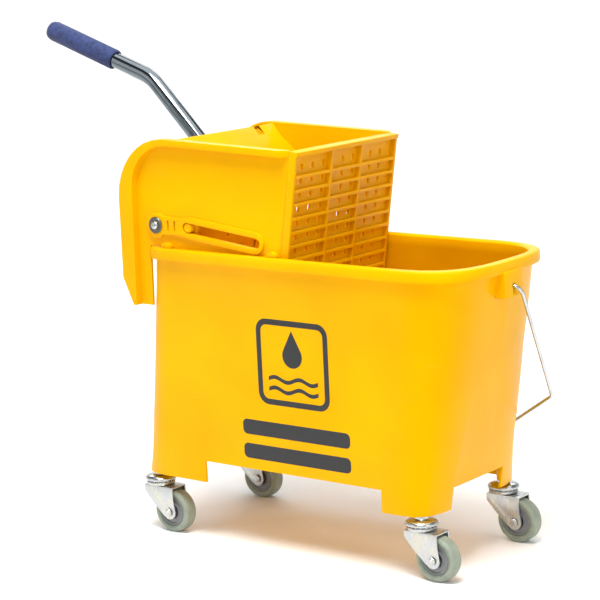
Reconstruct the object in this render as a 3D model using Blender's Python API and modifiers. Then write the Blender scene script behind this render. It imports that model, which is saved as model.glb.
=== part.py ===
"""Mop bucket on four castors with a lever-worked press wringer.

Metres, +Z up, +X towards the front of the bucket.  While it is being built the model stands on
the floor at z = 0 with x = y = 0 midway between the four castor stems; at the end the whole
assembly is shifted so that the middle of its footprint is the origin.
"""
import math

import bmesh
import bpy
from mathutils import Matrix, Vector

NAME = "mop_bucket_with_wringer"

# ---------------------------------------------------------------- driving dimensions (metres)
GAP = 0.0003                 # air kept between pieces that touch
RUN = 0.0010                 # running clearance of pieces that slide or turn

# castors
STEM_SPACING_X = 0.368       # between front and rear stems
STEM_SPACING_Y = 0.169       # between left and right stems
WHEEL_R = 0.025
TYRE_W = 0.018
TYRE_DEPTH = 0.0075          # rubber outside the hub
BUSH_R = 0.0085              # black bush at the middle of the hub
AXLE_R = 0.003
TRAIL = 0.021                # stem axis to axle
FORK_T = 0.002               # pressed steel sheet
FORK_TOP = 2 * WHEEL_R + 0.0045          # top of the fork's crown
RACE_R = 0.0185
RACE_H = 0.0125              # ball race between the crown and the foot of the bucket
STEM_R = 0.005

# bucket
FOOT_Z = FORK_TOP + RACE_H + 0.003       # underside of the four legs
LEG_H = 0.025                # legs below the bucket's underside
TUB_H = 0.233                # underside to the underside of the rim
WALL = 0.003
FLOOR_T = 0.0035
RIM_H = 0.013
RIM_OUT = 0.0070             # rim outside the wall
RIM_IN = 0.0012              # rim inside the wall
HALF_LOW, HALF_TOP = 0.0985, 0.1045      # half width outside, at the feet and under the rim
FRONT_LOW, FRONT_TOP = 0.2010, 0.2430    # front of the nose
NOSE_LOW, NOSE_TOP = 0.050, 0.093        # length of the rounded nose
SQUARE_LOW, SQUARE_TOP = 5.0, 3.3        # squareness of the nose
REAR_LOW, REAR_TOP = -0.1680, -0.1770    # flat rear wall
REAR_CORNER_LOW, REAR_CORNER_TOP = 0.018, 0.030
REAR_CORNER_Y = 0.038
REAR_SQUARE_LOW, REAR_SQUARE_TOP = 5.0, 2.0
FLARE = 0.0285               # rear legs stand out behind the rear wall
FLARE_Y0, FLARE_Y1 = 0.044, 0.060        # where the flare begins and is full, from the middle
FLARE_POWER = 0.85
SIDE_ARCH = (-0.103, 0.142)  # open stretch between the legs along the sides
END_ARCH = 0.051             # half of the open stretch across the ends
ARCH_RELIEF = 0.0004         # the arches are cut this far into the underside
BOSS_R = 0.0080
TUB_Z = FOOT_Z + LEG_H
RIM_Z = TUB_Z + TUB_H
RIM_TOP = RIM_Z + RIM_H

# bail
BAIL_R = 0.0021
BAIL_MEETS, BAIL_STANDS = 0.210, 0.0080  # where it meets the tub's corners, down the loop, and out
BAIL_SHARE = 0.25                        # of the tub's height, where it meets them
MEETS_HALF = HALF_LOW + (HALF_TOP - HALF_LOW) * BAIL_SHARE
BAIL_HANG = math.asin((MEETS_HALF + BAIL_STANDS) / BAIL_MEETS)    # from straight down, at rest
BAIL_Z = RIM_Z - 0.0150
LUG_W, LUG_T, LUG_DROP = 0.034, 0.003, 0.0265
LUG_STANDS = 0.0092          # plate of the lug, clear of the wall
BAIL_LEG_OUT = 0.0085        # wire outside the lug's plate
BAIL_REAR_OUT = 0.0170
BAIL_LEG = 0.161             # straight leg, measured down the loop
BAIL_REAR_LEG = 0.172
BAIL_DEPTH = 0.262
BAIL_LEAN = 0.0116           # the front leg leans in by this much
BAIL_SLOPE = 1.32            # run of the shoulder per drop
BAIL_BEND = 0.010
BAIL_GRIP_R, BAIL_GRIP_L = 0.0090, 0.110

# wringer frame
GRID_LOW = RIM_TOP - 0.1050
SIDE_STANDS = 0.0015         # air between the panels and the tub's wall, a little below their lower edge
SIDE_DEPTH = (GRID_LOW - 0.0155 - FOOT_Z) / (RIM_Z - FOOT_Z)
SIDE_OUT = HALF_LOW + (HALF_TOP - HALF_LOW) * SIDE_DEPTH - WALL - SIDE_STANDS     # outside of a panel
NOTCH_RUN = 0.0006           # air round the panels where they pass the bucket's rim
SIDE_T = 0.003
BORDER_OUT = 0.0095          # raised border outside the panel
BORDER_W, BORDER_TOP_W = 0.0200, 0.0075
SIDE_TOP_FRONT, SIDE_TOP_REAR = RIM_TOP + 0.1185, RIM_TOP + 0.1245
SIDE_REAR = REAR_TOP - 0.0325
SHOULDER_X = REAR_TOP + 0.0340           # where the top edge begins to round over
SKIRT_LOW, SKIRT_CORNER = RIM_TOP - 0.0695, RIM_TOP - 0.0380
SKIRT_FRONT, SLIT_FRONT = REAR_TOP + 0.0045, REAR_TOP + 0.0240    # the bucket's rear stands in this slit
GRID_X, GRID_Z = REAR_TOP + 0.2006, RIM_TOP + 0.0590              # a point on the rear of the grid
GRID_TILT = math.radians(8)
GRID_T, RIB_OUT, RIB_W = 0.003, 0.006, 0.0032
BROW_OUT, BROW_W = 0.0015, 0.0050        # top edge of the grid, beyond its ribs
ROW_PITCH, TOP_ROW = 0.0157, 0.0300
HOLE_W, HOLE_H, HOLE_UNDER = 0.0053, 0.0070, 0.0012
GRID_COLUMNS = ((0.355, (0.26, 0.575, 0.885)), (0.290, (0.49, 0.86)), (0.355, (0.36, 0.66)))
PRESS_TILT = math.radians(6.5)           # slide of the press plate, falling towards the grid
FLOOR_PANEL_T = 0.003
FLOOR_REAR = REAR_TOP + 0.0490

# pivot, lever and press plate
PIVOT = Vector((REAR_TOP + 0.0165, 0.0, RIM_TOP + 0.0250))
SHAFT_R = 0.004
HUB_R = 0.0115
HUB_HALF = SIDE_OUT - 0.0415
ARM_T, ARM_W = 0.007, 0.018
CRANK = 0.100
CRANK_PIN_R = 0.0045
CRANK_REST = math.radians(-78)           # arm from the slide's direction, at rest
LEVER_TURN = math.radians(66)
STROKE = 0.096
WEB_T = 0.005
SLOT_START = Vector((REAR_TOP + 0.0625, 0.0, RIM_TOP + 0.0243))
PIN_R = 0.0054
PRESS_T = 0.004
PRESS_LOW, PRESS_HIGH = RIM_TOP - 0.0750, RIM_TOP + 0.0640
PRESS_NOTCH = RIM_TOP + 0.0310           # the slab is cut down to here round the lever's socket
LEVER_R, LEVER_T = 0.0095, 0.0015
LEVER_OFFSET = 0.051         # lever's line from the pivot
LEVER_ANGLE = math.radians(134.4)
LEVER_STRAIGHT = 0.171       # foot of the perpendicular to the bend
LEVER_FOOT = 0.012           # tube below the foot of the perpendicular
GRIP_ANGLE = math.radians(160.8)
LEVER_BEND = 0.055
LEVER_UPPER = 0.169          # bend to the end of the grip
GRIP_L, GRIP_R = 0.110, 0.0122
SOCKET_R, SOCKET_L = 0.0140, 0.056
WASHER_R, WASHER_T = 0.0095, 0.0016
BOLT_HEAD_R, BOLT_HEAD_H = 0.0048, 0.0030

YELLOW = (0.93, 0.44, 0.005)
PALETTE = {
    "polypropylene_yellow": (YELLOW, 0.38, 0.0),
    "zinc_plated_steel": ((0.62, 0.62, 0.60), 0.28, 1.0),
    "chromed_steel": ((0.72, 0.73, 0.75), 0.12, 1.0),
    "grey_rubber": ((0.30, 0.33, 0.27), 0.55, 0.0),
    "grey_nylon": ((0.22, 0.22, 0.22), 0.45, 0.0),
    "black_nylon": ((0.012, 0.012, 0.012), 0.45, 0.0),
    "blue_foam": ((0.035, 0.060, 0.27), 0.85, 0.0),
}

for old in list(bpy.data.objects):
    bpy.data.objects.remove(old, do_unlink=True)

parts = bpy.data.collections.new(NAME)
cutters = bpy.data.collections.new("cutters")
for group in (parts, cutters):
    bpy.context.scene.collection.children.link(group)


# ---------------------------------------------------------------- tools
def material(name):
    found = bpy.data.materials.get(name)
    if found:
        return found
    colour, roughness, metallic = PALETTE[name]
    made = bpy.data.materials.new(name)
    made.use_nodes = True
    shader = made.node_tree.nodes["Principled BSDF"]
    shader.inputs["Base Color"].default_value = (*colour, 1.0)
    shader.inputs["Roughness"].default_value = roughness
    shader.inputs["Metallic"].default_value = metallic
    made.diffuse_color = (*colour, 1.0)
    return made


def add(name, mesh, finish, smooth=30, group=parts):
    """Link a mesh as one named part with its own finish."""
    thing = bpy.data.objects.new(name, mesh)
    group.objects.link(thing)
    if finish:
        mesh.materials.clear()
        mesh.materials.append(material(finish))
    mesh.shade_smooth()
    mesh.set_sharp_from_angle(angle=math.radians(smooth))
    return thing


def to_mesh(bm, name="shape"):
    bmesh.ops.recalc_face_normals(bm, faces=bm.faces)
    mesh = bpy.data.meshes.new(name)
    bm.to_mesh(mesh)
    bm.free()
    return mesh


def bake(thing):
    """Replace an object's mesh by what its modifiers make of it."""
    graph = bpy.context.evaluated_depsgraph_get()
    mesh = bpy.data.meshes.new_from_object(thing.evaluated_get(graph))
    thing.modifiers.clear()
    thing.data = mesh
    return thing


def combine(thing, tool, operation):
    """Boolean with another mesh object, which is then removed."""
    step = thing.modifiers.new(operation.lower(), "BOOLEAN")
    step.operation = operation
    step.object = tool
    step.solver = "EXACT"
    tool.hide_render = True
    tool.display_type = "WIRE"
    bake(thing)
    bpy.data.objects.remove(tool, do_unlink=True)
    return thing


def finish_shading(thing, smooth=30):
    thing.data.shade_smooth()
    thing.data.set_sharp_from_angle(angle=math.radians(smooth))
    return thing


def box(low, high):
    """Cutter or block between two corners."""
    bm = bmesh.new()
    bmesh.ops.create_cube(bm, size=1.0)
    low, high = Vector(low), Vector(high)
    size = high - low
    bmesh.ops.scale(bm, vec=size, verts=bm.verts)
    bmesh.ops.translate(bm, vec=(low + high) / 2, verts=bm.verts)
    return add("block", to_mesh(bm), None, group=cutters)


def rod(start, end, radius, sides=16, radius_end=None):
    """Round bar between two points."""
    start, end = Vector(start), Vector(end)
    along = end - start
    bm = bmesh.new()
    bmesh.ops.create_cone(bm, cap_ends=True, segments=sides, radius1=radius,
                          radius2=radius if radius_end is None else radius_end, depth=along.length)
    turn = along.to_track_quat("Z", "Y").to_matrix().to_4x4()
    bmesh.ops.transform(bm, matrix=Matrix.Translation((start + end) / 2) @ turn, verts=bm.verts)
    return add("rod", to_mesh(bm), None, group=cutters)


def plate(outline, y0, y1):
    """Flat outline in x and z, from y0 to y1."""
    bm = bmesh.new()
    ring = [bm.verts.new((x, y0, z)) for x, z in outline]
    face = bm.faces.new(ring)
    grown = bmesh.ops.extrude_face_region(bm, geom=[face])
    moved = [v for v in grown["geom"] if isinstance(v, bmesh.types.BMVert)]
    bmesh.ops.translate(bm, vec=(0, y1 - y0, 0), verts=moved)
    return add("plate", to_mesh(bm), None, group=cutters)


def turned(profile, axis, centre, sides=20):
    """Ring or disc turned from (radius, along) pairs; a pair at radius 0 closes the end."""
    mesh = bpy.data.meshes.new("profile")
    mesh.from_pydata([(r, 0, h) for r, h in profile], [(i, i + 1) for i in range(len(profile) - 1)], [])
    thing = add("turned", mesh, None, group=cutters)
    screw = thing.modifiers.new("screw", "SCREW")
    screw.steps = screw.render_steps = sides
    screw.use_merge_vertices = True
    screw.merge_threshold = 0.00001
    bake(thing)
    bm = bmesh.new()
    bm.from_mesh(thing.data)
    bmesh.ops.remove_doubles(bm, verts=bm.verts, dist=0.00001)
    turn = Vector(axis).to_track_quat("Z", "Y").to_matrix().to_4x4()
    bmesh.ops.transform(bm, matrix=Matrix.Translation(centre) @ turn, verts=bm.verts)
    bmesh.ops.recalc_face_normals(bm, faces=bm.faces)
    bm.to_mesh(thing.data)
    bm.free()
    return thing


def keep(thing, name, finish, smooth=30, origin=(0, 0, 0)):
    """Turn a working shape into a finished, named part with its origin on its joint."""
    thing.data.transform(Matrix.Translation(-Vector(origin)))
    thing.location = origin
    thing.name = name
    thing.data.name = name
    cutters.objects.unlink(thing)
    parts.objects.link(thing)
    thing.hide_render = False
    thing.data.materials.clear()
    thing.data.materials.append(material(finish))
    return finish_shading(thing, smooth)


def arc(centre, radius, first, last, steps):
    """Points on a circle in x and z, from one angle to another, both in degrees."""
    angles = [math.radians(first + (last - first) * i / steps) for i in range(steps + 1)]
    return [(centre[0] + radius * math.cos(a), centre[1] + radius * math.sin(a)) for a in angles]


def rounded(points, radius, steps=4):
    """Path through the points with its corners rounded."""
    path = [Vector(points[0])]
    for before, corner, after in zip(points, points[1:], points[2:]):
        before, corner, after = Vector(before), Vector(corner), Vector(after)
        back, ahead = (before - corner).normalized(), (after - corner).normalized()
        half = back.angle(ahead) / 2
        cut = radius / math.tan(half)
        centre = corner + (back + ahead).normalized() * radius / math.sin(half)
        first, last = corner + back * cut - centre, corner + ahead * cut - centre
        for i in range(steps + 1):
            path.append(centre + first.slerp(last, i / steps, first).normalized() * radius)
    path.append(Vector(points[-1]))
    return path


def tube(path, radius, resolution=2):
    """Solid wire or tube along a path, as a closed mesh."""
    curve = bpy.data.curves.new("path", "CURVE")
    curve.dimensions = "3D"
    curve.bevel_depth = radius
    curve.bevel_resolution = resolution
    curve.use_fill_caps = True
    spline = curve.splines.new("POLY")
    spline.points.add(len(path) - 1)
    for point, place in zip(spline.points, path):
        point.co = (*place, 1.0)
    rail = bpy.data.objects.new("path", curve)
    cutters.objects.link(rail)
    graph = bpy.context.evaluated_depsgraph_get()
    mesh = bpy.data.meshes.new_from_object(rail.evaluated_get(graph))
    bm = bmesh.new()
    bm.from_mesh(mesh)
    bmesh.ops.remove_doubles(bm, verts=bm.verts, dist=0.00001)
    bpy.data.meshes.remove(mesh)
    made = add("tube", to_mesh(bm), None, group=cutters)
    made.matrix_world = rail.matrix_world
    bpy.data.objects.remove(rail, do_unlink=True)
    return made


def lattice(us, vs, depth, place):
    """Closed panel whose front stands at depth(i, j) over each cell, and open where that is 0."""
    bm = bmesh.new()
    corner = {}

    def at(i, j, d):
        key = (i, j, round(d, 6))
        if key not in corner:
            corner[key] = bm.verts.new(place(us[i], vs[j], d))
        return corner[key]

    def cell(i, j):
        inside = 0 <= i < len(us) - 1 and 0 <= j < len(vs) - 1
        return depth(i, j) if inside else 0.0

    levels = sorted({0.0} | {depth(i, j) for i in range(len(us) - 1) for j in range(len(vs) - 1)})
    for i in range(len(us) - 1):
        for j in range(len(vs) - 1):
            high = cell(i, j)
            if high == 0.0:
                continue
            bm.faces.new([at(i, j, high), at(i + 1, j, high), at(i + 1, j + 1, high), at(i, j + 1, high)])
            bm.faces.new([at(i, j + 1, 0.0), at(i + 1, j + 1, 0.0), at(i + 1, j, 0.0), at(i, j, 0.0)])
            for di, dj, a, b in ((1, 0, (1, 0), (1, 1)), (-1, 0, (0, 1), (0, 0)),
                                 (0, 1, (1, 1), (0, 1)), (0, -1, (0, 0), (1, 0))):
                low = cell(i + di, j + dj)
                steps = [h for h in levels if low <= h <= high]
                for h0, h1 in zip(steps, steps[1:]):
                    bm.faces.new([at(i + a[0], j + a[1], h0), at(i + b[0], j + b[1], h0),
                                  at(i + b[0], j + b[1], h1), at(i + a[0], j + a[1], h1)])
    bmesh.ops.recalc_face_normals(bm, faces=bm.faces)
    bmesh.ops.dissolve_limit(bm, angle_limit=math.radians(0.5), verts=bm.verts, edges=bm.edges)
    return add("lattice", to_mesh(bm), None, group=cutters)


# ---------------------------------------------------------------- bucket
def mix(low, high, share):
    return low + (high - low) * share


def squared(angle, a, b, power):
    """Radius at an angle of a squared-off ellipse with half axes a and b."""
    return (abs(math.cos(angle) / a) ** power + abs(math.sin(angle) / b) ** power) ** (-1 / power)


NOSE_STEPS, CORNER_STEPS = 20, 5


def tub_outline(z, inset):
    """Plan outline of the tub at height z, moved in by inset (out where it is negative)."""
    share = (z - FOOT_Z) / (RIM_Z - FOOT_Z)
    half = mix(HALF_LOW, HALF_TOP, share) - inset
    front = mix(FRONT_LOW, FRONT_TOP, share) - inset
    nose = mix(NOSE_LOW, NOSE_TOP, share) - inset / 2
    rear = mix(REAR_LOW, REAR_TOP, share) + inset
    flare = FLARE * max(0.0, 1 - share * 1.06) ** FLARE_POWER
    corner_x = mix(REAR_CORNER_LOW, REAR_CORNER_TOP, share) - inset
    corner_y = REAR_CORNER_Y - inset
    power = mix(SQUARE_LOW, SQUARE_TOP, max(0.0, share) ** 0.35)
    rear_power = mix(REAR_SQUARE_LOW, REAR_SQUARE_TOP, max(0.0, share) ** 0.35)
    ring = []
    for i in range(NOSE_STEPS + 1):
        a = math.radians(-90 + 180 * i / NOSE_STEPS)
        reach = squared(a, nose, half, power)
        ring.append((front - nose + reach * math.cos(a), reach * math.sin(a), z))
    side_middle = (rear + corner_x + front - nose) / 2
    ring.append((side_middle, half, z))
    corner = []
    for i in range(CORNER_STEPS + 1):
        a = math.radians(90 * i / CORNER_STEPS)
        reach = squared(a, corner_x + flare, corner_y, rear_power)
        corner.append((rear + corner_x - reach * math.cos(a), half - corner_y + reach * math.sin(a), z))
    ring += list(reversed(corner))
    span = half - corner_y
    middle = [span * t for t in (0.80, 0.62, 0.30)]
    for y in middle + [-y for y in reversed(middle)]:
        t = min(1.0, max(0.0, (abs(y) - FLARE_Y0 - inset) / (FLARE_Y1 - FLARE_Y0)))
        ring.append((rear - flare * t * t * (3 - 2 * t), y, z))
    ring += [(x, -y, z) for x, y, z in corner]
    ring.append((side_middle, -half, z))
    return ring


def loft(rings):
    """Closed body through rings of equal count; the first and last are capped."""
    bm = bmesh.new()
    made = [[bm.verts.new(p) for p in ring] for ring in rings]
    count = len(rings[0])
    for lower, upper in zip(made, made[1:]):
        for i in range(count):
            j = (i + 1) % count
            bm.faces.new([lower[i], lower[j], upper[j], upper[i]])
    bm.faces.new(list(reversed(made[0])))
    bm.faces.new(made[-1])
    return add("loft", to_mesh(bm), None, group=cutters)


def at_height(ring, z):
    return [(x, y, z) for x, y, _ in ring]


SHAPE_LEVELS = [FOOT_Z + (RIM_Z - FOOT_Z) * t for t in (0.0, 0.10, 0.32, 0.55, 0.74, 0.88, 1.0)]


def bucket_shell():
    outer = [tub_outline(z, 0.0) for z in SHAPE_LEVELS]
    under = tub_outline(TUB_Z, WALL)
    skirt = [tub_outline(FOOT_Z, WALL), under]
    rim = [at_height(tub_outline(RIM_Z, -RIM_OUT), RIM_Z),
           at_height(tub_outline(RIM_Z, -RIM_OUT), RIM_TOP - 0.0035),
           at_height(tub_outline(RIM_Z, -RIM_OUT + 0.0012), RIM_TOP - 0.0011),
           at_height(tub_outline(RIM_Z, -RIM_OUT + 0.0035), RIM_TOP),
           at_height(tub_outline(RIM_Z, WALL + RIM_IN - 0.0025), RIM_TOP),
           at_height(tub_outline(RIM_Z, WALL + RIM_IN), RIM_TOP - 0.0025),
           at_height(tub_outline(RIM_Z, WALL + RIM_IN), RIM_Z - 0.0010)]
    floor = TUB_Z + FLOOR_T
    inner_levels = [z for z in reversed(SHAPE_LEVELS) if z > floor + 0.01]
    inner_levels[0] = RIM_Z - 0.0035
    inner = [tub_outline(z, WALL) for z in inner_levels]
    inner.append(at_height(tub_outline(floor, WALL), floor + 0.006))
    inner.append(tub_outline(floor, WALL + 0.006))
    shell = loft(list(reversed(skirt)) + outer + rim + inner)
    crown = TUB_Z + ARCH_RELIEF
    for low, high in (((SIDE_ARCH[0], -0.2, 0.0), (SIDE_ARCH[1], 0.2, crown)),
                      ((-0.4, -END_ARCH, 0.0), (0.4, END_ARCH, crown))):
        combine(shell, box(low, high), "DIFFERENCE")
    for sx, sy in STEMS.values():
        combine(shell, rod((sx, sy, FOOT_Z + 0.0004), (sx, sy, TUB_Z + FLOOR_T / 2), BOSS_R), "UNION")
    for sx, sy in STEMS.values():
        bore = rod((sx, sy, FOOT_Z - 0.01), (sx, sy, TUB_Z), STEM_R + GAP)
        combine(shell, bore, "DIFFERENCE")
    for side in (1, -1):
        combine(shell, lug(side), "UNION")
        corner = (SKIRT_FRONT - 0.05, side * (SIDE_OUT - SIDE_T - NOTCH_RUN), RIM_Z - 0.001)
        far = (SKIRT_FRONT + NOTCH_RUN, side * (SIDE_OUT + NOTCH_RUN), RIM_TOP + 0.01)
        combine(shell, box(*ordered(corner, far)), "DIFFERENCE")
    return keep(shell, "bucket_shell", "polypropylene_yellow", smooth=32)


def wall_x(side, z):
    """Outside of the end wall at the middle, front (1) or rear (-1)."""
    share = (z - FOOT_Z) / (RIM_Z - FOOT_Z)
    return mix(FRONT_LOW, FRONT_TOP, share) if side > 0 else mix(REAR_LOW, REAR_TOP, share)


def lug(side):
    """Box under the rim that holds one end of the bail, open below, with a keyhole."""
    wall = wall_x(side, BAIL_Z)
    face = wall + side * (LUG_STANDS + LUG_T)
    low = RIM_Z - LUG_DROP
    xs = sorted((wall - side * WALL / 2, face))
    block = box((xs[0], -LUG_W / 2, low), (xs[1], LUG_W / 2, RIM_Z + 0.002))
    inside = sorted((wall - side * WALL, face - side * LUG_T))
    hollow = box((inside[0], -LUG_W / 2 + LUG_T, low - 0.01), (inside[1], LUG_W / 2 - LUG_T, RIM_Z - LUG_T))
    combine(block, hollow, "DIFFERENCE")
    through = sorted((face + side * 0.01, face - side * (LUG_T + 0.002)))
    hole = rod((through[0], 0, BAIL_Z), (through[1], 0, BAIL_Z), BAIL_R + RUN, sides=12)
    combine(block, hole, "DIFFERENCE")
    slot = box((through[0], -0.0012, BAIL_Z - 0.0085), (through[1], 0.0012, BAIL_Z))
    return combine(block, slot, "DIFFERENCE")


# ---------------------------------------------------------------- castors
HALF_X, HALF_Y = STEM_SPACING_X / 2, STEM_SPACING_Y / 2
STEMS = {
    "front_right": (HALF_X, -HALF_Y),
    "front_left": (HALF_X, HALF_Y),
    "rear_right": (-HALF_X, -HALF_Y),
    "rear_left": (-HALF_X, HALF_Y),
}
CHEEK_IN = TYRE_W / 2 + 0.0018
CHEEK_OUT = CHEEK_IN + FORK_T


def castor(corner, sx, sy):
    """Stem, fork, axle, bush, hub and tyre of one castor; the wheel trails towards +X."""
    swivel = Vector((sx, sy, 0.0))
    axle = Vector((sx + TRAIL, sy, WHEEL_R))
    race_low = FORK_TOP + GAP
    race_top = FOOT_Z - GAP
    stem = turned([(0, TUB_Z - 0.004), (STEM_R, TUB_Z - 0.004), (STEM_R, race_top),
                   (RACE_R - 0.0050, race_top), (RACE_R - 0.0015, race_top - 0.0022),
                   (RACE_R, race_top - 0.0055), (RACE_R - 0.0016, race_top - 0.0066),
                   (RACE_R - 0.0008, race_low + 0.0035), (RACE_R - 0.0040, race_low), (0, race_low)],
                  (0, 0, 1), swivel, sides=16)
    keep(stem, f"castor_stem_{corner}", "zinc_plated_steel")

    cheek = [(-0.0150, FORK_TOP), (-0.0150, FORK_TOP - 0.0080), (TRAIL - 0.0225, WHEEL_R + 0.0075),
             (TRAIL - 0.0080, WHEEL_R - 0.0055)]
    cheek += arc((TRAIL, WHEEL_R), 0.0092, 218, 355, 5)
    cheek += [(TRAIL + 0.0065, WHEEL_R + 0.0150), (TRAIL + 0.0055, FORK_TOP)]
    fork = plate([(sx + x, z) for x, z in cheek], sy - CHEEK_OUT, sy + CHEEK_OUT)
    room = box((sx - 0.05, sy - CHEEK_IN, 0.0), (sx + 0.06, sy + CHEEK_IN, FORK_TOP - FORK_T))
    combine(fork, room, "DIFFERENCE")
    hole = rod(axle - Vector((0, 0.03, 0)), axle + Vector((0, 0.03, 0)), AXLE_R + 2 * GAP, sides=12)
    combine(fork, hole, "DIFFERENCE")
    keep(fork, f"castor_fork_{corner}", "zinc_plated_steel", origin=swivel)

    head = CHEEK_OUT + GAP
    bolt = turned([(0, -head - 0.0036), (0.0022, -head - 0.0036), (0.0050, -head - 0.0018),
                   (0.0053, -head), (AXLE_R, -head), (AXLE_R, head), (0.0053, head),
                   (0.0053, head + 0.0030), (0, head + 0.0034)][::-1], (0, 1, 0), axle, sides=8)
    keep(bolt, f"castor_axle_{corner}", "zinc_plated_steel", origin=axle)

    half = TYRE_W / 2
    hub_r = WHEEL_R - TYRE_DEPTH
    bush = turned([(AXLE_R + GAP, half + 0.0004), (BUSH_R, half + 0.0004), (BUSH_R, -half - 0.0004),
                   (AXLE_R + GAP, -half - 0.0004), (AXLE_R + GAP, half + 0.0004)], (0, 1, 0), axle)
    keep(bush, f"castor_bush_{corner}", "black_nylon", origin=axle)
    hub = turned([(BUSH_R + GAP, half - 0.0012), (hub_r - 0.0012, half - 0.0004),
                  (hub_r - GAP, half - 0.0010), (hub_r - GAP, -half + 0.0010),
                  (hub_r - 0.0012, -half + 0.0004), (BUSH_R + GAP, -half + 0.0012),
                  (BUSH_R + GAP, half - 0.0012)], (0, 1, 0), axle)
    keep(hub, f"castor_hub_{corner}", "grey_nylon", origin=axle)
    tyre = turned([(hub_r, half - 0.0008), (WHEEL_R - 0.0028, half), (WHEEL_R - 0.0008, half - 0.0018),
                   (WHEEL_R, half - 0.0050), (WHEEL_R, -half + 0.0050), (WHEEL_R - 0.0008, -half + 0.0018),
                   (WHEEL_R - 0.0028, -half), (hub_r, -half + 0.0008), (hub_r, half - 0.0008)],
                  (0, 1, 0), axle, sides=20)
    keep(tyre, f"castor_tyre_{corner}", "grey_rubber", origin=axle)


# ---------------------------------------------------------------- bail
def bail_point(x, depth):
    """Point on the hanging loop: x along the hinge, depth down the loop from the hinge."""
    return Vector((x, depth * math.sin(BAIL_HANG), BAIL_Z - depth * math.cos(BAIL_HANG)))


def bail():
    front_face = wall_x(1, BAIL_Z) + LUG_STANDS + LUG_T
    rear_face = wall_x(-1, BAIL_Z) - LUG_STANDS - LUG_T
    front, rear = front_face + BAIL_LEG_OUT, rear_face - BAIL_REAR_OUT
    tip = LUG_T + 0.0065
    low_front = front - BAIL_LEAN - BAIL_SLOPE * (BAIL_DEPTH - BAIL_LEG)
    low_rear = rear + BAIL_SLOPE * (BAIL_DEPTH - BAIL_REAR_LEG)
    corners = [bail_point(front_face - tip, 0), bail_point(front, 0), bail_point(front - BAIL_LEAN, BAIL_LEG),
               bail_point(low_front, BAIL_DEPTH), bail_point(low_rear, BAIL_DEPTH),
               bail_point(rear, BAIL_REAR_LEG), bail_point(rear, 0), bail_point(rear_face + tip, 0)]
    path = rounded(corners, BAIL_BEND)
    keep(tube(path, BAIL_R), "bail_wire", "chromed_steel", origin=bail_point(0, 0))
    middle = (low_front + low_rear) / 2
    half = BAIL_GRIP_L / 2
    grip = turned([(BAIL_R + GAP, half), (BAIL_GRIP_R - 0.002, half), (BAIL_GRIP_R, half - 0.002),
                   (BAIL_GRIP_R, -half + 0.002), (BAIL_GRIP_R - 0.002, -half), (BAIL_R + GAP, -half),
                   (BAIL_R + GAP, half)], (1, 0, 0), bail_point(middle, BAIL_DEPTH))
    keep(grip, "bail_grip", "black_nylon", origin=bail_point(0, 0))


# ---------------------------------------------------------------- wringer frame
def grid_x(z):
    """Rear of the front grid's panel."""
    return GRID_X + (z - GRID_Z) * math.tan(GRID_TILT)


def top_z(x):
    front = grid_x(SIDE_TOP_FRONT)
    return mix(SIDE_TOP_FRONT, SIDE_TOP_REAR, (front - x) / (front - SHOULDER_X))


def floor_z(x):
    """Top of the wringer's floor."""
    return GRID_LOW + (grid_x(GRID_LOW) - x) * math.tan(PRESS_TILT)


def d_edge(inset):
    """Rear edge of the side panel from the top front corner round to the skirt, moved in by inset."""
    edge = [(grid_x(SIDE_TOP_FRONT - inset) - GAP, SIDE_TOP_FRONT - inset)]
    edge.append((SHOULDER_X, SIDE_TOP_REAR - inset))
    shoulder = (SHOULDER_X, SIDE_TOP_REAR - 0.0700)
    wide, high = SHOULDER_X - SIDE_REAR - inset, 0.0700 - inset
    for i in range(1, 8):
        a = math.radians(90 + 90 * i / 8)
        edge.append((shoulder[0] + wide * math.cos(a), shoulder[1] + high * math.sin(a)))
    edge.append((SIDE_REAR + inset, shoulder[1]))
    edge.append((SIDE_REAR + inset + 0.001, SKIRT_CORNER))
    edge.append((SIDE_REAR + inset * 1.1 + 0.0155, SKIRT_LOW))
    return edge


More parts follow.
